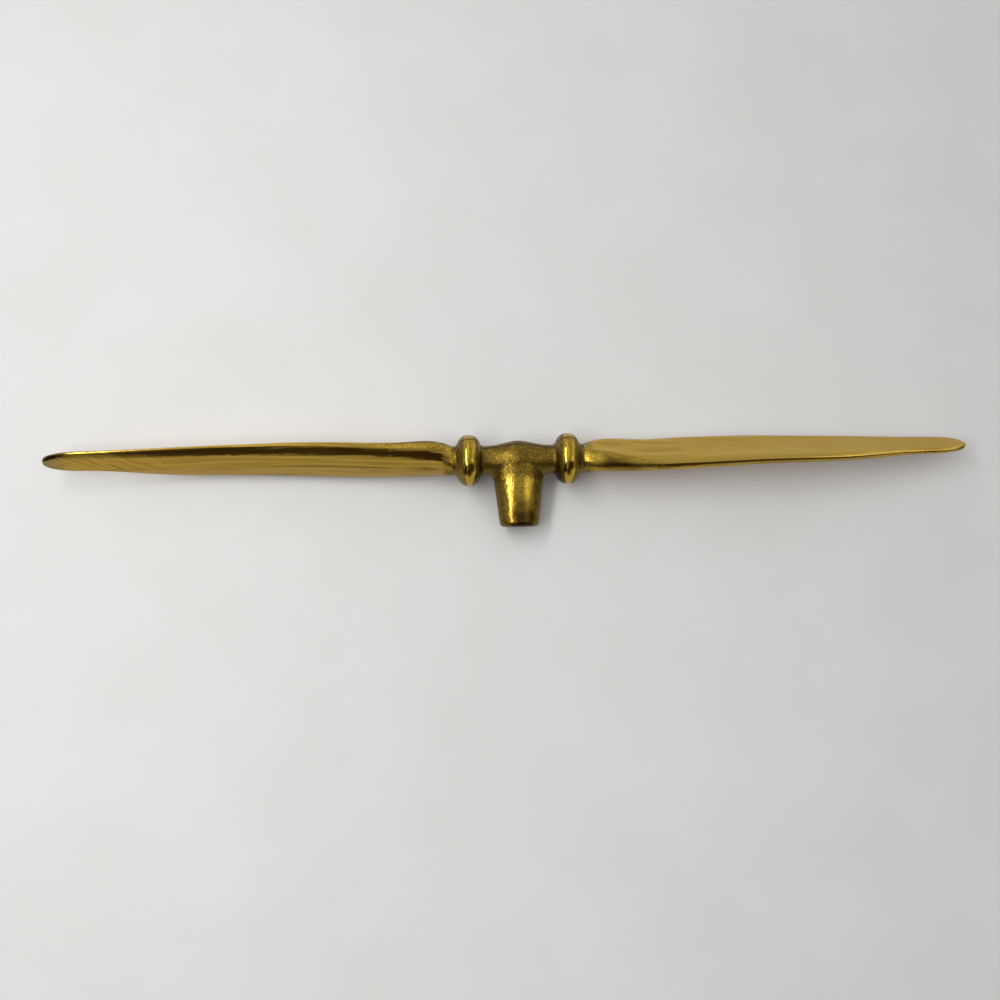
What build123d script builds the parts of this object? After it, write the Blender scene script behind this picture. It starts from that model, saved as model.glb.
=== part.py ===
from build123d import *
import os
from math import asin, atan, atan2, cos, hypot, radians, sin, tan

# A solid brass letter opener in the shape of a two-blade aeroplane propeller, lying on a desk.
# It rests on its two bead collars and on the lower rim of its nose.
# +X runs along the right blade, -Y toward the nose, +Z up. The desk is at Z = 0 and the origin lies
# on it, straight below the point where the blade line and the nose line cross.

# Hub: a spindle along the blade line
barrel_diameter = 9.4
neck_diameter = 7.0
barrel_length = 16.5

# Collars: one round bead between the hub and the shoulder of each blade
collar_diameter = 12.7
collar_length = 7.9
bead_radius = 2.9
bead_fillet = 1.1

# Nose: an oval taper that sits on a pad in front of the hub
seat_reach = 6.6
nose_length = 10.0
nose_seat_width = 11.9
nose_seat_height = 8.5
nose_end_width = 9.55
nose_end_height = 7.5
nose_edge_radius = 1.2
pad_fillet = 1.9

# Joint inside the hub: half-lapped tangs, with the spigot of the nose through them into the back wall
tang_diameter = 4.4
lap_length = 6.0
spigot_diameter = 2.4
spigot_bite = 1.2
fit_clearance = 0.04

# Blades: the length is measured from the shoulder, runs from one section to the next, edges from the
# blade line toward the nose (near) and away from it (far), and thicknesses across the leading edge,
# which is the near one. The outer run is what the other runs leave of the length. The blade bows
# toward its leading edge at half length and its tip is raked back toward the trailing edge.
blade_length = 98.45
shank_diameter = 7.2
root_run = 2.6
root_near = 3.5
root_far = 4.45
root_thickness = 5.9
inner_run = 8.5
inner_near = 3.6
inner_far = 4.75
inner_thickness = 4.5
waist_run = 17.15
waist_near = 3.2
waist_far = 5.0
waist_thickness = 3.2
middle_run = 20.0
middle_near = 2.4
middle_far = 4.95
middle_thickness = 2.6
outer_near = 1.85
outer_far = 4.4
outer_thickness = 2.1
end_run = 18.0
end_near = 0.65
end_far = 3.9
end_thickness = 1.6
tip_run = 10.8
# How full the outline of the tip is: 2 makes it a quarter of an ellipse, more makes it blunter
tip_fullness = 2.5
root_trail_thickness = 5.0
end_trail_thickness = 0.7
root_pitch = 48.0
end_pitch = 51.0
bow = 0.8
rake = 1.2
back_rise = -1.0
crest_share = 0.72
# Angles from the chord, in degrees, where the round shank runs on into the edges of the sections
shank_breaks = (135, 45, -25, -75, -135, -225)
# Angles of the sections that round off the tip, in degrees
tip_turns = (20, 38, 54, 67, 77)

# Values that follow from the sizes above
collar_radius = collar_diameter / 2
neck_radius = neck_diameter / 2
shank_radius = shank_diameter / 2
tang_radius = tang_diameter / 2
bore_radius = tang_radius + fit_clearance
spigot_radius = spigot_diameter / 2
spigot_hole_radius = spigot_radius + fit_clearance
spigot_end = bore_radius + spigot_bite
barrel_end = barrel_length / 2
shoulder = barrel_end + collar_length
outer_run = blade_length - root_run - inner_run - waist_run - middle_run - end_run - tip_run
nose_reach = seat_reach + nose_length
pad_root_width = nose_seat_width + (nose_seat_width - nose_end_width) * seat_reach / nose_length
pad_root_height = nose_seat_height + (nose_seat_height - nose_end_height) * seat_reach / nose_length

# How far the nose tips down: the desk touches the collars and the rounded rim of the nose
nose_slope = atan((nose_seat_height - nose_end_height) / 2 / nose_length)
rim_reach = nose_reach - nose_edge_radius
rim_drop = nose_end_height / 2 + nose_edge_radius * (tan(nose_slope) - 1 / cos(nose_slope))
tip_down = asin((collar_radius - nose_edge_radius) / hypot(rim_reach, rim_drop)) - atan2(rim_drop, rim_reach)

# The hub's own plane: X along the right blade, Y away from the nose
hub = Plane(origin=(0, 0, collar_radius), x_dir=(1, 0, 0), z_dir=(0, -sin(tip_down), cos(tip_down)))
blade_line = Axis(hub.origin, hub.x_dir)
nose_line = Axis(hub.origin, hub.y_dir * -1)


def across_blade(distance, side):
    """Plane across the blade line, its X toward the far edge; side is 1 on the right and -1 on the left."""
    origin = hub.from_local_coords(Vector(side * distance, 0, 0))
    return Plane(origin=origin, x_dir=hub.y_dir, z_dir=hub.x_dir * side)


def across_nose(reach):
    """Plane across the nose line, facing out of the nose."""
    origin = hub.from_local_coords(Vector(0, -reach, 0))
    return Plane(origin=origin, x_dir=hub.x_dir, z_dir=hub.y_dir * -1)


def turned(direction, angle):
    """A direction in a section, turned by an angle in degrees."""
    return direction.rotate(Axis.Z, angle)


def blade_stations():
    """Sections along a blade: distance, near edge, far edge, thickness of the two edges, pitch, sweep."""
    named = []
    named.append((root_run, root_near, root_far, root_thickness))
    named.append((inner_run, inner_near, inner_far, inner_thickness))
    named.append((waist_run, waist_near, waist_far, waist_thickness))
    named.append((middle_run, middle_near, middle_far, middle_thickness))
    named.append((outer_run, outer_near, outer_far, outer_thickness))
    named.append((end_run, end_near, end_far, end_thickness))
    blade_run = sum(run for run, near, far, lead in named)
    stations = []
    along = 0
    for run, near, far, lead in named:
        along += run
        share = (along - root_run) / (blade_run - root_run)
        trail = end_trail_thickness + (root_trail_thickness - end_trail_thickness) * (1 - share) ** 3
        pitch = root_pitch + (end_pitch - root_pitch) * share
        sweep = 4 * bow * share * (1 - share) - rake * share**3
        stations.append((shoulder + along, -near, far, lead, trail, pitch, sweep))
    # the tip is rounded off as a blunt quarter of an ellipse
    middle_line = (end_far - end_near) / 2
    half_width = (end_far + end_near) / 2
    for turn in tip_turns:
        width_share = cos(radians(turn)) ** (2 / tip_fullness)
        run_share = sin(radians(turn)) ** (2 / tip_fullness)
        distance = shoulder + along + tip_run * run_share
        near = middle_line - half_width * width_share
        far = middle_line + half_width * width_share
        lead = end_thickness * (1 + width_share) / 2
        trail = end_trail_thickness * (1 + width_share) / 2
        lead = min(lead, far - near)
        trail = min(trail, (far - near) / 2)
        stations.append((distance, near, far, lead, trail, end_pitch, -rake))
    return stations


def make_blade(side):
    """One blade with its shank, shoulder and half-lapped tang."""
    with BuildPart() as blade:
        # the round shank, drawn in the same five stretches as the sections of the blade
        with BuildSketch(across_blade(shoulder, side)):
            chord = turned(Vector(shank_radius, 0), -root_pitch)
            with BuildLine():
                for start, end in zip(shank_breaks, shank_breaks[1:]):
                    middle = (start + end) / 2
                    ThreePointArc(turned(chord, start), turned(chord, middle), turned(chord, end))
            make_face()
        for distance, near, far, lead, trail, pitch, sweep in blade_stations():
            lead_radius = lead / 2
            trail_radius = trail / 2
            half_height = (far - trail_radius - near - lead_radius) / 2 * tan(radians(pitch))
            lead_center = Vector(near + lead_radius, sweep + half_height)
            trail_center = Vector(far - trail_radius, sweep - half_height)
            chord = (trail_center - lead_center).normalized()
            rise = turned(chord, 90)
            length = (trail_center - lead_center).length
            face_slope = asin((lead_radius - trail_radius) / length)
            face_out = chord * sin(face_slope) + rise * cos(face_slope)
            face_lead = lead_center + face_out * lead_radius
            face_trail = trail_center + face_out * trail_radius
            # the back runs straight to its crest, then in an arc that touches the round trailing edge
            back_run = turned(chord, -back_rise)
            back_out = turned(back_run, -90)
            back_lead = lead_center + back_out * lead_radius
            back_length = (trail_center - back_lead).dot(back_run)
            depth = (back_lead - trail_center).dot(back_out)
            crest = back_lead + back_run * (back_length * crest_share)
            arc_run = back_length * (1 - crest_share)
            arc_radius = (arc_run**2 / (depth - trail_radius) + depth + trail_radius) / 2
            arc_center = crest - back_out * arc_radius
            back_trail = arc_center + (trail_center - arc_center).normalized() * arc_radius
            with BuildSketch(across_blade(distance, side)):
                with BuildLine():
                    Line(face_lead, face_trail)
                    ThreePointArc(face_trail, trail_center + chord * trail_radius, back_trail)
                    TangentArc(crest, back_trail, tangent=back_run)
                    Line(crest, back_lead)
                    ThreePointArc(back_lead, lead_center - chord * lead_radius, face_lead)
                make_face()
        loft()
        # the round tang, cut away below its middle where the tang of the other blade laps under it
        with BuildSketch(across_blade(fit_clearance - lap_length / 2, side)):
            Circle(tang_radius)
        extrude(amount=shoulder + lap_length / 2 - fit_clearance)
        with BuildSketch(across_blade(-lap_length / 2, side)):
            with Locations((0, fit_clearance / 2)):
                Rectangle(tang_diameter, tang_diameter, align=(Align.CENTER, Align.MAX))
        extrude(amount=lap_length + fit_clearance, mode=Mode.SUBTRACT)
        # a groove across the lap for the spigot
        with BuildSketch(across_nose(-tang_diameter)):
            Circle(spigot_hole_radius)
        extrude(amount=2 * tang_diameter, mode=Mode.SUBTRACT)
    return blade.part


def make_collar(side):
    """One bead collar, a ring round the tang between the hub and the shoulder of the blade."""
    hub_end = side * barrel_end
    middle = side * (barrel_end + collar_length / 2)
    blade_end = side * shoulder
    with BuildPart() as collar:
        with BuildSketch(hub) as profile:
            with BuildLine():
                Polyline(
                    (hub_end, 0),
                    (hub_end, neck_radius),
                    (middle, neck_radius),
                    (middle, shank_radius),
                    (blade_end, shank_radius),
                    (blade_end, 0),
                    close=True,
                )
            make_face()
            with Locations((middle, collar_radius - bead_radius)):
                Circle(bead_radius)
            foot_corners = profile.vertices().filter_by(lambda v: barrel_end < side * v.X < shoulder)
            fillet(foot_corners.filter_by(lambda v: v.Y > bore_radius), bead_fillet)
            Rectangle(2 * shoulder, 2 * bore_radius, mode=Mode.SUBTRACT)
        revolve(axis=blade_line)
    return collar.part


with BuildPart() as hub_barrel:
    with BuildSketch(hub):
        with BuildLine():
            Polyline((barrel_end, neck_radius), (barrel_end, 0), (-barrel_end, 0), (-barrel_end, neck_radius))
            Spline(
                (-barrel_end, neck_radius),
                (0, barrel_diameter / 2),
                (barrel_end, neck_radius),
                tangents=((1, 0), (1, 0)),
            )
        make_face()
    revolve(axis=blade_line)
    # the pad that carries the nose, blended into the spindle
    with BuildSketch(across_nose(0)):
        Ellipse(pad_root_width / 2, pad_root_height / 2)
    with BuildSketch(across_nose(seat_reach)):
        Ellipse(nose_seat_width / 2, nose_seat_height / 2)
    loft()
    fillet(hub_barrel.edges(Select.NEW), pad_fillet)
    # the bore for the tangs
    with BuildSketch(across_blade(-barrel_end, 1)):
        Circle(bore_radius)
    extrude(amount=barrel_length, mode=Mode.SUBTRACT)
    # the blind hole for the spigot
    with BuildSketch(across_nose(-spigot_end - fit_clearance)):
        Circle(spigot_hole_radius)
    extrude(amount=spigot_end + fit_clearance + seat_reach, mode=Mode.SUBTRACT)

with BuildPart() as nose_boss:
    with BuildSketch(across_nose(seat_reach)):
        Ellipse(nose_seat_width / 2, nose_seat_height / 2)
    with BuildSketch(across_nose(nose_reach)):
        Ellipse(nose_end_width / 2, nose_end_height / 2)
    loft()
    fillet(nose_boss.faces().sort_by(nose_line)[-1].edges(), nose_edge_radius)
    # the spigot
    with BuildSketch(across_nose(-spigot_end)):
        Circle(spigot_radius)
    extrude(amount=spigot_end + seat_reach)

pieces = {
    "hub_barrel": hub_barrel.part,
    "nose_boss": nose_boss.part,
    "left_blade": make_blade(-1),
    "right_blade": make_blade(1),
    "left_collar": make_collar(-1),
    "right_collar": make_collar(1),
}

os.makedirs("parts", exist_ok=True)
for name, piece in pieces.items():
    piece.label = name
    export_step(piece, f"parts/{name}.step")
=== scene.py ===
from math import cos, radians, sin

import bpy
from mathutils import Matrix, Vector

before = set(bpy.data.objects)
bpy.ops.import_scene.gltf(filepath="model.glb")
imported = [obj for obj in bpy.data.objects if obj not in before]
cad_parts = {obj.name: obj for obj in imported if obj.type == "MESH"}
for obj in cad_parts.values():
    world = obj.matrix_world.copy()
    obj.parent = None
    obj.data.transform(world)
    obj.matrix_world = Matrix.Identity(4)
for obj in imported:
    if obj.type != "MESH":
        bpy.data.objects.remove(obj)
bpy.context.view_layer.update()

# Lengths are in metres and angles in degrees, in the frame of the CAD model: +X along the right blade,
# -Y toward the nose, +Z up from the desk. Colours are in linear light. A pair of numbers is where a
# smooth change starts and ends, or what it changes from and to. Four numbers are where something starts,
# is full, is last full and ends.

# The camera looks down on the opener from in front and a little to the left
PICTURE_WIDTH_PX = 1000
FOCAL_LENGTH_PX = 1139.4
SENSOR_WIDTH_MM = 36.0
CAMERA_AIM = Vector((-0.00480, -0.01005, 0.0062))
CAMERA_DISTANCE = 0.280
CAMERA_ELEVATION = 79.0
CAMERA_AZIMUTH = 20.33
CAMERA_ROLL = 18.69
CAMERA_NEAREST = 0.01

# A pale floor with faint clouds
FLOOR_REACH = 3.0
FLOOR_CLOUD_SIZE = 0.03
FLOOR_CLOUD_LIMITS = (0.3, 0.7)
FLOOR_GRAY = (0.87, 0.865, 0.845, 1)
FLOOR_PALE = (0.90, 0.895, 0.88, 1)
FLOOR_ROUGHNESS = 0.6

# A soft strip lamp above the desk on the left, with its power in watts
LAMP_PLACE = Vector((-0.212, 0.030, 0.330))
LAMP_WIDTH = 0.060
LAMP_LENGTH = 0.47
LAMP_POWER = 0.74

# The room, by direction: X is the sideways part of the unit direction, and the front angle goes from
# straight up at 0 to the horizon in front of the desk at 90 and the horizon behind it at -90
ROOM_FRONT = (-90, 10)
ROOM_LEVELS = (0.56, 0.46)
ROOM_LEFT_X = (-0.95, -0.55)
ROOM_LEFT_SHARE = 0.55
ROOM_RIGHT_X = (0.72, 0.90)
ROOM_RIGHT_SHARE = 0.30
# a window on the right with a brighter pane, and a bright strip on the left from behind to overhead
WINDOW_X = (0.46, 0.58, 0.66, 0.80)
WINDOW_LEVEL = 0.35
PANE_X = (0.38, 0.45, 0.55, 0.62)
PANE_FRONT = (-4, 6, 20, 28)
PANE_LEVEL = 0.8
STRIP_X = (-0.27, -0.20, -0.13, -0.06)
STRIP_FRONT = (-85, -60, -8, 12)
STRIP_LEVEL = 0.85
# a dark screen in front, which reaches below the horizon on the left and ends above it on the right,
# and is narrower between the X values of its notch
SCREEN_TOP = 25
SCREEN_TOP_SOFTNESS = 5
SCREEN_LOW = (105, 68)
SCREEN_LOW_X = (0.12, 0.26)
SCREEN_LOW_SOFTNESS = 6
SCREEN_SIDES = (0.62, 0.85)
NOTCH_X = (-0.46, -0.36, -0.24, -0.13)
NOTCH_TOP_DROP = 37
NOTCH_LOW_RISE = 29
SCREEN_COLOR = (0.052, 0.035, 0.032)
SCREEN_LEVELS = (0.30, 1.1)
SCREEN_LEVEL_X = (-0.22, -0.14)

# Worn brass, the brown skin that a casting keeps, and the brown of its deepest hollows, which also paints
# shade and dark reflections
GOLD = (0.58, 0.385, 0.052, 1)
PATINA = (0.165, 0.105, 0.018, 1)
TARNISH_AND_SHADE = (0.075, 0.042, 0.010, 1)

# The sandy skin of a casting
GRAIN_COARSE_SIZE = 0.00062
GRAIN_FINE_SIZE = 0.00026
GRAIN_COARSE_SHARE = 0.6
GRAIN_FINE_SHARE = 0.4
PATCH_SIZE = 0.0024
PATCH_WEAR = 0.55
SPECK_WEAR = 2.2
PIT_LIMITS = (0.36, 0.27)
PIT_SHARE = 0.6

# The blade line runs along X at this height, and the middle of each collar is this far out on it
LINE_HEIGHT = 0.00635
COLLAR_PLACE = 0.0122

# Polish of the hub, nose and collars. A collar has a polished crest that is wider on top, with painted shade
# along its outline
CAST_WANDER_SIZE = 0.004
UPPER_SIDE = (0.62, 0.90)
NOSE_POLISH_Y = (-0.0030, -0.0075)
HUB_AND_NOSE_POLISH = (0.20, 0.88)
COLLAR_REACH = (0.0040, 0.0036)
CREST_TURN = (0.10, 0.90)
CREST_HALF_WIDTHS = (0.0007, 0.0016)
CREST_SOFTNESS = 0.0001
CREST_OUTLINE = (0.00022, 0.00006)
SIDE_AND_CREST_POLISH = (0.14, 0.72)
CREST_GRAIN_SHARE = 0.3
CREST_GRAIN_LEVEL = 0.35

# Brown places of the casting: hollows, as tarnish and painted shade; the top of the nose near its end; the
# line of the mould; painted shade on crest outlines
HOLLOW_REACH = 0.0040
HOLLOW_LIMITS = (0.72, 0.25)
HOLLOW_TARNISH_AND_SHADE = 0.85
NOSE_END_Y = (-0.0084, -0.0142)
NOSE_END_MIDDLE_X = 0.0004
NOSE_END_HALF_WIDTH = (0.0032, 0.0022)
NOSE_END_Z = (0.0040, 0.0050)
# the top of the nose near its end is painted a darker brown
NOSE_END_DARKENING = 0.97
SEAM_ANGLE = 43
SEAM_HALF_WIDTH = (0.00038, 0.00012)
SEAM_Y = (0.0005, 0.0015)
SEAM_TARNISH = 0.95
# a thin painted shade along the outline of each crest
OUTLINE_SHADE = 0.35

# Surface of the casting
CAST_SHINE_POLISH = (0.1, 0.8)
CAST_ROUGHNESS = (0.36, 0.15)
CAST_ROUGHNESS_WANDER = 0.10
TARNISH_ROUGHNESS = 0.10
LUMP_SIZE = 0.0030
LUMP_DEPTH = 0.00014
GRAIN_DEPTH = 0.00012
GRAIN_POLISH = (0.2, 0.9)
GRAIN_SHARES = (1.0, 0.55)
SEAM_DEPTH = 0.00008

# The chord of a blade leans by its pitch, and its face and back meet where the normal turns over
BLADE_PITCH = 49.0
FACE_TURN = (-0.2, 0.2)
BLADE_WANDER_SIZE = 0.006

# Grinding streaks, each by how much X counts, width, slice of the noise and detail. Near the tip they slant
BROAD_STREAKS = (0.030, 0.00085, 0.0, 3.0)
BROAD_TIP_STREAKS = (0.10, 0.00070, 0.5, 3.0)
FINE_STREAKS = (0.022, 0.00034, 0.3, 2.0)
FINE_TIP_STREAKS = (0.08, 0.00030, 0.8, 2.0)
HAIR_SCRATCHES = (0.012, 0.00016, 0.7, 1.0)
TIP_SLANT = 0.55
TIP_START = (0.080, 0.098)

# The back of a blade: bright and olive streaks, paler low down as a painted reflection of the floor, brown
# streaks and one painted dark line as the shade of a slight crease
BRIGHT_BRASS = (0.505, 0.322, 0.054, 1)
OLIVE_BRASS = (0.375, 0.240, 0.038, 1)
FLOOR_REFLECTION_BRASS = (0.460, 0.305, 0.090, 1)
# the brown of the streaks, which also paints the shade of the crease
STREAK_BROWN_AND_SHADE = (0.24, 0.135, 0.030, 1)
OLIVE_LIMITS = (0.38, 0.62)
FLOOR_REFLECTION_CHORD = (-0.0006, -0.0020)
FLOOR_REFLECTION_SHARE = 0.8
BACK_STREAK_LIMITS = (0.54, 0.70)
BACK_STREAK_SHARES = (0.60, 0.80)
# a painted dark line, the shade of a slight crease low on the back near the root
CREASE_SHADE_CHORD = -0.0006
CREASE_SHADE_WAVE = 0.0008
CREASE_SHADE_HALF_WIDTH = (0.00060, 0.00010)
CREASE_SHADE_START = (0.026, 0.036)
CREASE_SHADE_FADE = (0.044, 0.072)
CREASE_SHADE_FADED = 0.25
CREASE_SHADE_SHARE = 0.85

# The face of a blade: yellower toward its upper edge, with faint streaks
FACE_BRASS = (0.590, 0.372, 0.072, 1)
FACE_YELLOW = (0.635, 0.420, 0.084, 1)
YELLOW_CHORD = (-0.001, 0.003)
FACE_STREAK_LIMITS = (0.56, 0.76)
FACE_STREAK_SHARE = 0.14

# The left blade has a brown tip
TIP_BROWN = (0.26, 0.185, 0.085, 1)
BROWN_TIP_START = (0.1085, 0.1135)
BROWN_TIP_SIDE = (0.010, -0.010)
BROWN_TIP_SHARE = 0.75

# The skin of the casting on a blade: all round the shank, then above a line that rises along the blade
SHANK_END = (0.0192, 0.0172)
BACK_SKIN_SLOPE = 0.057
BACK_SKIN_START = 0.0034
FACE_SKIN_SLOPE = 0.232
FACE_SKIN_START = -0.0028
SKIN_EDGE = (-0.0004, 0.0003)
SKIN_END = (0.0460, 0.0400)
SKIN_TURN = (0.30, 0.95)
# the upper side of the skin is brighter gold, partly polish and partly a painted glint on the shank
SKIN_POLISH_AND_GLINT = (0.12, 0.72)
# a painted dark reflection on the round edge of the face near the root
DARK_REFLECTION_CHORD = (0.0006, 0.0022)
DARK_REFLECTION_START = (0.0195, 0.0225)
DARK_REFLECTION_END = (0.036, 0.029)
DARK_REFLECTION_SHARE = 0.7
ROOT_PIT_LIMITS = (0.40, 0.30)
ROOT_PIT_END = (0.036, 0.022)
ROOT_PIT_SHARE = 0.55
# the hollows on the blades are darkened, partly tarnish and partly painted shade near the desk
BLADE_HOLLOW_REACH = 0.0030
BLADE_HOLLOW_LIMITS = (0.70, 0.30)
BLADE_HOLLOW_TARNISH_AND_SHADE = 0.7

# Surface of the blades, which is satin low on the back close to the root
BACK_AND_FACE_ROUGHNESS = (0.12, 0.10)
STREAK_ROUGHNESS_LIMITS = (0.4, 0.7)
STREAK_ROUGHNESS = 0.06
SATIN_END = (0.032, 0.026)
SATIN_CHORD = (0.0, -0.0008)
SATIN_ROUGHNESS = 0.18
SKIN_ROUGHNESS = 0.14
SCRATCH_DEPTH = 0.000006
SKIN_DEPTH = 0.00009


class Nodes:
    """Short calls that add nodes to one tree and link them."""

    def __init__(self, tree):
        self.tree = tree

    def put(self, socket, value):
        """Link another node's output to a socket, or set a plain value on it."""
        if isinstance(value, bpy.types.NodeSocket):
            self.tree.links.new(value, socket)
        else:
            socket.default_value = value

    def math(self, operation, first, second=0.0):
        node = self.tree.nodes.new("ShaderNodeMath")
        node.operation = operation
        self.put(node.inputs[0], first)
        self.put(node.inputs[1], second)
        return node.outputs[0]

    def add(self, first, second):
        return self.math("ADD", first, second)

    def minus(self, first, second):
        return self.math("SUBTRACT", first, second)

    def times(self, first, second):
        return self.math("MULTIPLY", first, second)

    def most(self, first, second):
        return self.math("MAXIMUM", first, second)

    def absolute(self, value):
        return self.math("ABSOLUTE", value)

    def rest(self, share):
        """What a share leaves over of 1."""
        return self.minus(1.0, share)

    def between(self, share, first, second):
        """The first number where the share is 0, the second where it is 1."""
        return self.add(self.times(first, self.rest(share)), self.times(second, share))

    def stray(self, value, wander, reach):
        """The value, moved by the wander so that an edge drawn from it isn't straight."""
        return self.add(value, self.times(wander, reach))

    def ramp(self, value, start, end, low=0.0, high=1.0):
        """A smooth change from low to high while the value goes from start to end."""
        node = self.tree.nodes.new("ShaderNodeMapRange")
        node.interpolation_type = "SMOOTHSTEP"
        self.put(node.inputs["Value"], value)
        self.put(node.inputs["From Min"], start)
        self.put(node.inputs["From Max"], end)
        self.put(node.inputs["To Min"], low)
        self.put(node.inputs["To Max"], high)
        return node.outputs["Result"]

    def fade(self, value, start, end):
        return self.ramp(value, start, end, 1.0, 0.0)

    def band(self, value, start, full, last, end):
        """1 from full to last, and 0 before the start and after the end."""
        return self.times(self.ramp(value, start, full), self.fade(value, last, end))

    def split(self, vector):
        node = self.tree.nodes.new("ShaderNodeSeparateXYZ")
        self.put(node.inputs[0], vector)
        return node.outputs["X"], node.outputs["Y"], node.outputs["Z"]

    def join(self, x, y, z):
        node = self.tree.nodes.new("ShaderNodeCombineXYZ")
        for socket, value in zip(node.inputs, (x, y, z)):
            self.put(socket, value)
        return node.outputs[0]

    def noise(self, place, size, detail=2.0):
        """Noise from 0 to 1 whose patches are about as large as the size."""
        node = self.tree.nodes.new("ShaderNodeTexNoise")
        self.put(node.inputs["Vector"], place)
        node.inputs["Scale"].default_value = 1.0 / size
        node.inputs["Detail"].default_value = detail
        return node.outputs["Fac"]

    def wander(self, place, size, detail=2.0):
        """The same noise, about equally far above and below 0."""
        return self.minus(self.noise(place, size, detail), 0.5)

    def blend(self, share, first, second):
        node = self.tree.nodes.new("ShaderNodeMix")
        node.data_type = "RGBA"
        self.put(node.inputs["Factor"], share)
        self.put(node.inputs["A"], first)
        self.put(node.inputs["B"], second)
        return node.outputs["Result"]

    def coords(self):
        return self.tree.nodes.new("ShaderNodeTexCoord").outputs

    def hollows(self, reach):
        """1 in open places, less in corners and between pieces."""
        node = self.tree.nodes.new("ShaderNodeAmbientOcclusion")
        node.samples = 8
        node.inputs["Distance"].default_value = reach
        return node.outputs["AO"]

    def bump(self, height, depth, before=None):
        node = self.tree.nodes.new("ShaderNodeBump")
        node.inputs["Strength"].default_value = 1.0
        node.inputs["Distance"].default_value = depth
        self.put(node.inputs["Height"], height)
        if before is not None:
            self.put(node.inputs["Normal"], before)
        return node.outputs["Normal"]


def in_radians(angles):
    return tuple(radians(angle) for angle in angles)


def make_camera():
    elevation = radians(CAMERA_ELEVATION)
    azimuth = radians(CAMERA_AZIMUTH)
    away = Vector((-cos(elevation) * sin(azimuth), -cos(elevation) * cos(azimuth), sin(elevation)))
    right = Vector((0, 0, 1)).cross(away).normalized()
    up = away.cross(right)
    roll = Matrix.Rotation(radians(CAMERA_ROLL), 3, away)
    data = bpy.data.cameras.new("camera")
    data.sensor_width = SENSOR_WIDTH_MM
    data.lens = SENSOR_WIDTH_MM * FOCAL_LENGTH_PX / PICTURE_WIDTH_PX
    data.clip_start = CAMERA_NEAREST
    camera = bpy.data.objects.new("camera", data)
    placed = Matrix((roll @ right, roll @ up, away)).transposed().to_4x4()
    placed.translation = CAMERA_AIM + CAMERA_DISTANCE * away
    camera.matrix_world = placed
    bpy.context.scene.collection.objects.link(camera)
    bpy.context.scene.camera = camera


def make_floor():
    corners = [(-1, -1), (1, -1), (1, 1), (-1, 1)]
    mesh = bpy.data.meshes.new("floor")
    mesh.from_pydata([(x * FLOOR_REACH, y * FLOOR_REACH, 0) for x, y in corners], [], [(0, 1, 2, 3)])
    floor = bpy.data.objects.new("floor", mesh)
    bpy.context.scene.collection.objects.link(floor)
    material = bpy.data.materials.new("floor")
    material.use_nodes = True
    shader = material.node_tree.nodes["Principled BSDF"]
    nodes = Nodes(material.node_tree)
    clouds = nodes.noise(nodes.coords()["Object"], FLOOR_CLOUD_SIZE, detail=3.0)
    color = nodes.blend(nodes.ramp(clouds, *FLOOR_CLOUD_LIMITS), FLOOR_GRAY, FLOOR_PALE)
    nodes.put(shader.inputs["Base Color"], color)
    shader.inputs["Roughness"].default_value = FLOOR_ROUGHNESS
    mesh.materials.append(material)


def dark_screen(nodes, x, front_angle):
    """Where the dark screen in front of the desk is, and its colour."""
    notch = nodes.band(x, *NOTCH_X)
    top_edge = nodes.add(nodes.times(notch, radians(NOTCH_TOP_DROP)), radians(SCREEN_TOP))
    low_edge = nodes.ramp(x, *SCREEN_LOW_X, *in_radians(SCREEN_LOW))
    low_edge = nodes.add(nodes.times(notch, radians(-NOTCH_LOW_RISE)), low_edge)
    top_softness = radians(SCREEN_TOP_SOFTNESS)
    low_softness = radians(SCREEN_LOW_SOFTNESS)
    screen = nodes.ramp(nodes.minus(front_angle, top_edge), -top_softness, top_softness)
    screen = nodes.times(screen, nodes.fade(nodes.minus(front_angle, low_edge), -low_softness, low_softness))
    screen = nodes.times(screen, nodes.fade(nodes.absolute(x), *SCREEN_SIDES))
    level = nodes.ramp(x, *SCREEN_LEVEL_X, *SCREEN_LEVELS)
    return screen, nodes.join(*(nodes.times(level, part) for part in SCREEN_COLOR))


def make_world():
    """A pale room, darker at both sides, with what the polished brass mirrors: a dark screen in front of
    the desk, a window on the right and a bright strip on the left."""
    world = bpy.data.worlds.new("studio")
    world.use_nodes = True
    nodes = Nodes(world.node_tree)
    x, y, z = nodes.split(nodes.coords()["Generated"])
    front_angle = nodes.math("ARCTAN2", nodes.times(y, -1.0), z)
    room = nodes.ramp(front_angle, *in_radians(ROOM_FRONT), *ROOM_LEVELS)
    room = nodes.times(room, nodes.ramp(x, *ROOM_LEFT_X, ROOM_LEFT_SHARE, 1.0))
    room = nodes.times(room, nodes.ramp(x, *ROOM_RIGHT_X, 1.0, ROOM_RIGHT_SHARE))
    window = nodes.band(x, *WINDOW_X)
    room = nodes.add(room, nodes.times(window, WINDOW_LEVEL))
    pane = nodes.times(nodes.band(x, *PANE_X), nodes.band(front_angle, *in_radians(PANE_FRONT)))
    room = nodes.add(room, nodes.times(pane, PANE_LEVEL))
    strip = nodes.times(nodes.band(x, *STRIP_X), nodes.band(front_angle, *in_radians(STRIP_FRONT)))
    room = nodes.add(room, nodes.times(strip, STRIP_LEVEL))
    screen, screen_color = dark_screen(nodes, x, front_angle)
    color = nodes.blend(screen, nodes.join(room, room, room), screen_color)
    nodes.put(world.node_tree.nodes["Background"].inputs["Color"], color)
    bpy.context.scene.world = world


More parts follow.
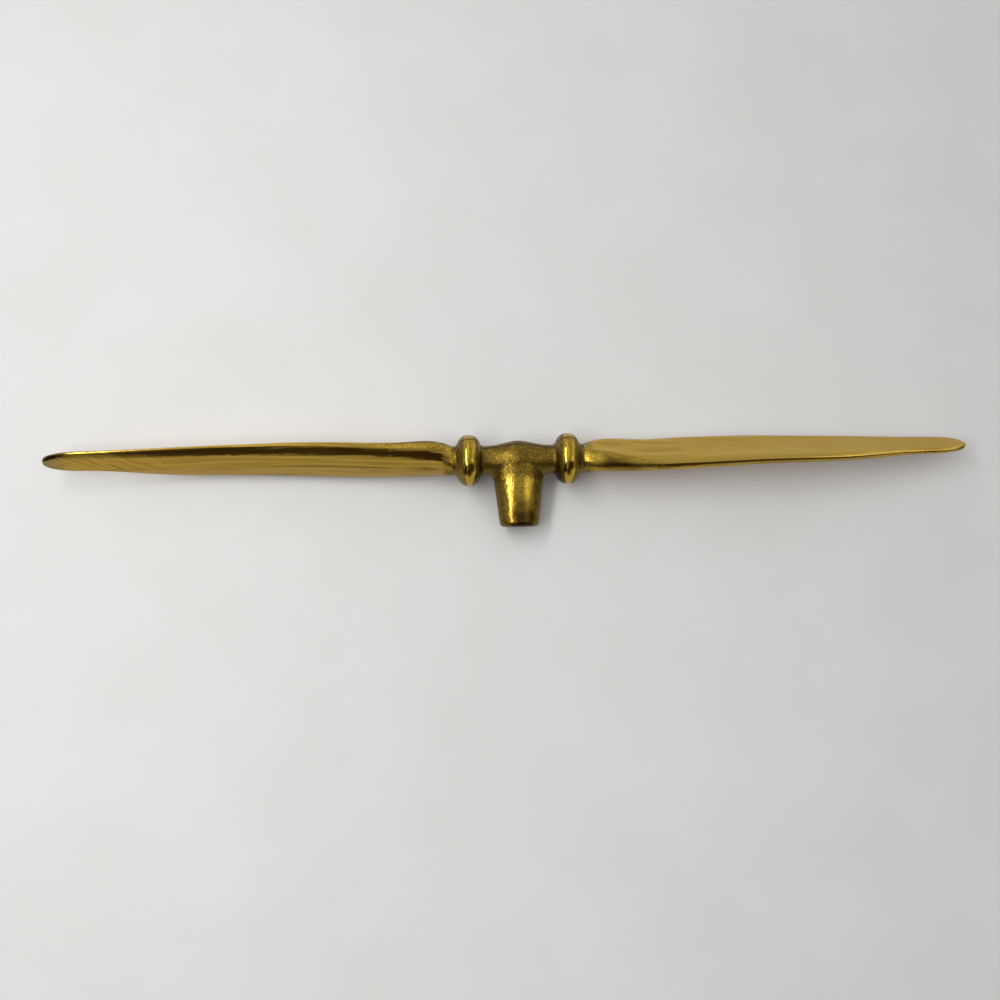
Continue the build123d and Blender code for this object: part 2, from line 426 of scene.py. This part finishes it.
def make_lamp():
    """The lamp faces the hub, with its length along the desk's Y."""
    data = bpy.data.lights.new("key", "AREA")
    data.shape = "RECTANGLE"
    data.size = LAMP_WIDTH
    data.size_y = LAMP_LENGTH
    data.energy = LAMP_POWER
    lamp = bpy.data.objects.new("key", data)
    away = LAMP_PLACE.normalized()
    across = Vector((0, 1, 0)).cross(away).normalized()
    along = away.cross(across)
    placed = Matrix((across, along, away)).transposed().to_4x4()
    placed.translation = LAMP_PLACE
    lamp.matrix_world = placed
    bpy.context.scene.collection.objects.link(lamp)


def new_material(name):
    material = bpy.data.materials.new(name)
    material.use_nodes = True
    shader = material.node_tree.nodes["Principled BSDF"]
    shader.inputs["Metallic"].default_value = 1.0
    return material, shader, Nodes(material.node_tree)


def casting_grain(nodes, place):
    """Height of the sandy skin of a casting, from 0 to 1."""
    coarse = nodes.noise(place, GRAIN_COARSE_SIZE, detail=2.0)
    fine = nodes.noise(place, GRAIN_FINE_SIZE, detail=1.0)
    return nodes.add(nodes.times(coarse, GRAIN_COARSE_SHARE), nodes.times(fine, GRAIN_FINE_SHARE))


def casting_color(nodes, place, grain, polish):
    """Gold where the skin is worn through, brown elsewhere, in patches and specks, with dark pits."""
    patches = nodes.wander(place, PATCH_SIZE, detail=3.0)
    specks = nodes.minus(grain, 0.5)
    worn = nodes.add(polish, nodes.add(nodes.times(patches, PATCH_WEAR), nodes.times(specks, SPECK_WEAR)))
    color = nodes.blend(nodes.ramp(worn, 0.0, 1.0), PATINA, GOLD)
    return nodes.blend(nodes.ramp(grain, *PIT_LIMITS, 0.0, PIT_SHARE), color, TARNISH_AND_SHADE)


def cast_brass():
    """Grainy cast brass, polished where a wheel reaches, brown in the hollows, as tarnish and painted shade,
    and on the line of the mould.
    """
    material, shader, nodes = new_material("cast_brass")
    coords = nodes.coords()
    place = coords["Object"]
    x, y, z = nodes.split(place)
    upward = nodes.split(coords["Normal"])[2]
    wander = nodes.wander(place, CAST_WANDER_SIZE)

    # the collars and their crests
    from_collar = nodes.absolute(nodes.minus(nodes.absolute(x), COLLAR_PLACE))
    on_collar = nodes.ramp(from_collar, *COLLAR_REACH)
    crest_edge = nodes.ramp(upward, *CREST_TURN, *CREST_HALF_WIDTHS)
    beyond_crest = nodes.minus(nodes.stray(from_collar, wander, reach=0.0004), crest_edge)
    crest = nodes.ramp(beyond_crest, CREST_SOFTNESS, -CREST_SOFTNESS)
    on_crest = nodes.times(crest, on_collar)
    # a thin painted shade along the outline of each crest
    crest_outline_shade = nodes.times(nodes.ramp(nodes.absolute(beyond_crest), *CREST_OUTLINE), on_collar)

    # polished: the crests, the upper side of the nose and, less, that of the hub
    upper = nodes.ramp(upward, *UPPER_SIDE)
    nose_share = nodes.ramp(nodes.stray(y, wander, reach=0.003), *NOSE_POLISH_Y, *HUB_AND_NOSE_POLISH)
    polish = nodes.times(nodes.times(upper, nose_share), nodes.rest(on_collar))
    collar_polish = nodes.ramp(crest, 0.0, 1.0, *SIDE_AND_CREST_POLISH)
    polish = nodes.add(polish, nodes.times(on_collar, collar_polish))

    # brown: hollows, as tarnish and painted shade; the top of the nose near its end; the line of the mould;
    # and painted shade on the crests' outlines
    tarnish_and_shade = nodes.ramp(nodes.hollows(HOLLOW_REACH), *HOLLOW_LIMITS, 0.0, HOLLOW_TARNISH_AND_SHADE)
    near_end = nodes.ramp(nodes.stray(y, wander, reach=0.006), *NOSE_END_Y)
    from_middle = nodes.absolute(nodes.stray(nodes.minus(x, NOSE_END_MIDDLE_X), wander, reach=0.002))
    nose_end = nodes.times(near_end, nodes.ramp(from_middle, *NOSE_END_HALF_WIDTH))
    nose_end = nodes.times(nose_end, nodes.ramp(z, *NOSE_END_Z))
    tarnish_and_shade = nodes.most(tarnish_and_shade, nodes.times(nose_end, NOSE_END_DARKENING))
    height = nodes.add(z, -LINE_HEIGHT)
    slope = radians(SEAM_ANGLE)
    from_seam = nodes.add(nodes.times(y, cos(slope)), nodes.times(height, -sin(slope)))
    from_seam = nodes.absolute(nodes.stray(from_seam, wander, reach=0.0005))
    seam = nodes.times(nodes.ramp(from_seam, *SEAM_HALF_WIDTH), nodes.ramp(y, *SEAM_Y))
    tarnish_and_shade = nodes.most(tarnish_and_shade, nodes.times(seam, SEAM_TARNISH))
    tarnish_and_shade = nodes.most(tarnish_and_shade, nodes.times(crest_outline_shade, OUTLINE_SHADE))

    # the crests have little grain
    grain = nodes.times(casting_grain(nodes, place), nodes.ramp(on_crest, 0.0, 1.0, 1.0, CREST_GRAIN_SHARE))
    grain = nodes.add(grain, nodes.times(on_crest, CREST_GRAIN_LEVEL))
    color = casting_color(nodes, place, grain, polish)
    nodes.put(shader.inputs["Base Color"], nodes.blend(tarnish_and_shade, color, TARNISH_AND_SHADE))
    rough = nodes.ramp(polish, *CAST_SHINE_POLISH, *CAST_ROUGHNESS)
    rough = nodes.stray(rough, wander, CAST_ROUGHNESS_WANDER)
    nodes.put(shader.inputs["Roughness"], nodes.add(rough, nodes.times(tarnish_and_shade, TARNISH_ROUGHNESS)))
    lumps = nodes.bump(nodes.noise(place, LUMP_SIZE, detail=1.0), LUMP_DEPTH)
    grain_height = nodes.times(grain, nodes.ramp(polish, *GRAIN_POLISH, *GRAIN_SHARES))
    skin = nodes.bump(grain_height, GRAIN_DEPTH, lumps)
    nodes.put(shader.inputs["Normal"], nodes.bump(seam, -SEAM_DEPTH, skin))
    return material


def streaks(nodes, x, across, x_share, width, layer, detail):
    """Noise drawn out along the blade."""
    return nodes.noise(nodes.join(nodes.times(x, x_share), across, layer), width, detail)


def back_color(nodes, along, up_chord, wander, tip, broad, fine):
    """Colour of the back of a blade."""
    color = nodes.blend(nodes.ramp(broad, *OLIVE_LIMITS), BRIGHT_BRASS, OLIVE_BRASS)
    # low on the back the brass is painted paler, as a painted reflection of the floor
    floor_reflection = nodes.ramp(nodes.stray(up_chord, wander, reach=0.002), *FLOOR_REFLECTION_CHORD, 0.0, FLOOR_REFLECTION_SHARE)
    color = nodes.blend(floor_reflection, color, FLOOR_REFLECTION_BRASS)
    brown = nodes.ramp(fine, *BACK_STREAK_LIMITS)
    brown = nodes.times(brown, nodes.ramp(tip, 0.0, 1.0, *BACK_STREAK_SHARES))
    color = nodes.blend(brown, color, STREAK_BROWN_AND_SHADE)
    # a painted dark line, the shade of a slight crease
    from_line = nodes.stray(nodes.minus(up_chord, CREASE_SHADE_CHORD), broad, CREASE_SHADE_WAVE)
    line = nodes.ramp(nodes.absolute(from_line), *CREASE_SHADE_HALF_WIDTH)
    line = nodes.times(line, nodes.ramp(along, *CREASE_SHADE_START))
    line = nodes.times(line, nodes.ramp(along, *CREASE_SHADE_FADE, 1.0, CREASE_SHADE_FADED))
    return nodes.blend(nodes.times(line, CREASE_SHADE_SHARE), color, STREAK_BROWN_AND_SHADE)


def face_color(nodes, up_chord, wander, fine):
    """Colour of the face of a blade."""
    yellow = nodes.ramp(nodes.stray(up_chord, wander, reach=0.006), *YELLOW_CHORD)
    color = nodes.blend(yellow, FACE_BRASS, FACE_YELLOW)
    brown = nodes.ramp(fine, *FACE_STREAK_LIMITS, 0.0, FACE_STREAK_SHARE)
    return nodes.blend(brown, color, STREAK_BROWN_AND_SHADE)


def blade_brass():
    """Ground and polished brass with lengthwise streaks, which keeps the skin of the casting near the root."""
    material, shader, nodes = new_material("blade_brass")
    coords = nodes.coords()
    place = coords["Object"]
    x, y, z = nodes.split(place)
    _, backward, upward = nodes.split(coords["Normal"])
    side = nodes.math("SIGN", x)
    along = nodes.absolute(x)
    height = nodes.add(z, -LINE_HEIGHT)
    lean = radians(BLADE_PITCH)
    # up the chord, from the lower edge of each blade to its upper one, and which of its sides this is
    up_chord = nodes.add(nodes.times(nodes.times(y, side), -cos(lean)), nodes.times(height, sin(lean)))
    facing = nodes.add(nodes.times(backward, sin(lean)), nodes.times(nodes.times(upward, side), cos(lean)))
    face = nodes.ramp(facing, *FACE_TURN)
    wander = nodes.wander(place, BLADE_WANDER_SIZE)

    # grinding streaks run along the blade, and slant across it near the tip
    aslant = nodes.add(up_chord, nodes.times(along, -TIP_SLANT))
    tip = nodes.ramp(nodes.stray(along, wander, reach=0.02), *TIP_START)
    broad = streaks(nodes, x, up_chord, *BROAD_STREAKS)
    broad = nodes.between(tip, broad, streaks(nodes, x, aslant, *BROAD_TIP_STREAKS))
    fine = streaks(nodes, x, up_chord, *FINE_STREAKS)
    fine = nodes.between(tip, fine, streaks(nodes, x, aslant, *FINE_TIP_STREAKS))
    hair = streaks(nodes, x, up_chord, *HAIR_SCRATCHES)
    back = back_color(nodes, along, up_chord, wander, tip, broad, fine)
    color = nodes.blend(face, back, face_color(nodes, up_chord, wander, fine))
    brown_tip = nodes.ramp(nodes.stray(along, wander, reach=0.006), *BROWN_TIP_START)
    brown_tip = nodes.times(brown_tip, nodes.ramp(x, *BROWN_TIP_SIDE))
    color = nodes.blend(nodes.times(brown_tip, BROWN_TIP_SHARE), color, TIP_BROWN)

    # the skin of the casting: all round the shank, then only along the upper edge
    back_line = nodes.add(nodes.times(along, BACK_SKIN_SLOPE), BACK_SKIN_START)
    face_line = nodes.add(nodes.times(along, FACE_SKIN_SLOPE), FACE_SKIN_START)
    above_line = nodes.minus(up_chord, nodes.between(face, back_line, face_line))
    skin = nodes.ramp(nodes.stray(above_line, wander, reach=0.0014), *SKIN_EDGE)
    skin = nodes.times(skin, nodes.ramp(along, *SKIN_END))
    skin = nodes.most(skin, nodes.ramp(along, *SHANK_END))
    grain = casting_grain(nodes, place)
    # brighter gold on the upper side of the skin: polish and a painted glint on the shank
    polish = nodes.ramp(upward, *SKIN_TURN, *SKIN_POLISH_AND_GLINT)
    color = nodes.blend(skin, color, casting_color(nodes, place, grain, polish))

    # close to the root: a painted dark reflection on the round edge of the face, pits, and hollows darkened as
    # tarnish and painted shade
    dark_reflection = nodes.times(nodes.ramp(nodes.minus(up_chord, face_line), *DARK_REFLECTION_CHORD), face)
    dark_reflection = nodes.times(dark_reflection, nodes.ramp(along, *DARK_REFLECTION_START))
    dark_reflection = nodes.times(dark_reflection, nodes.ramp(along, *DARK_REFLECTION_END))
    color = nodes.blend(nodes.times(dark_reflection, DARK_REFLECTION_SHARE), color, TARNISH_AND_SHADE)
    pits = nodes.times(nodes.ramp(grain, *ROOT_PIT_LIMITS), nodes.ramp(along, *ROOT_PIT_END))
    color = nodes.blend(nodes.times(pits, ROOT_PIT_SHARE), color, STREAK_BROWN_AND_SHADE)
    hollows = nodes.hollows(BLADE_HOLLOW_REACH)
    tarnish_and_shade = nodes.ramp(hollows, *BLADE_HOLLOW_LIMITS, 0.0, BLADE_HOLLOW_TARNISH_AND_SHADE)
    nodes.put(shader.inputs["Base Color"], nodes.blend(tarnish_and_shade, color, TARNISH_AND_SHADE))

    rough = nodes.ramp(face, 0.0, 1.0, *BACK_AND_FACE_ROUGHNESS)
    rough = nodes.add(rough, nodes.times(nodes.ramp(fine, *STREAK_ROUGHNESS_LIMITS), STREAK_ROUGHNESS))
    satin = nodes.times(nodes.ramp(along, *SATIN_END), nodes.ramp(up_chord, *SATIN_CHORD))
    satin = nodes.times(satin, nodes.rest(face))
    rough = nodes.add(rough, nodes.times(satin, SATIN_ROUGHNESS))
    nodes.put(shader.inputs["Roughness"], nodes.add(rough, nodes.times(skin, SKIN_ROUGHNESS)))
    scratches = nodes.bump(nodes.times(hair, nodes.rest(skin)), SCRATCH_DEPTH)
    nodes.put(shader.inputs["Normal"], nodes.bump(nodes.times(grain, skin), SKIN_DEPTH, scratches))
    return material


bpy.context.scene.view_settings.view_transform = "Standard"
make_camera()
make_floor()
make_world()
make_lamp()
cast = cast_brass()
blade = blade_brass()
for name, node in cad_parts.items():
    node.data.materials[0] = blade if "blade" in name else cast
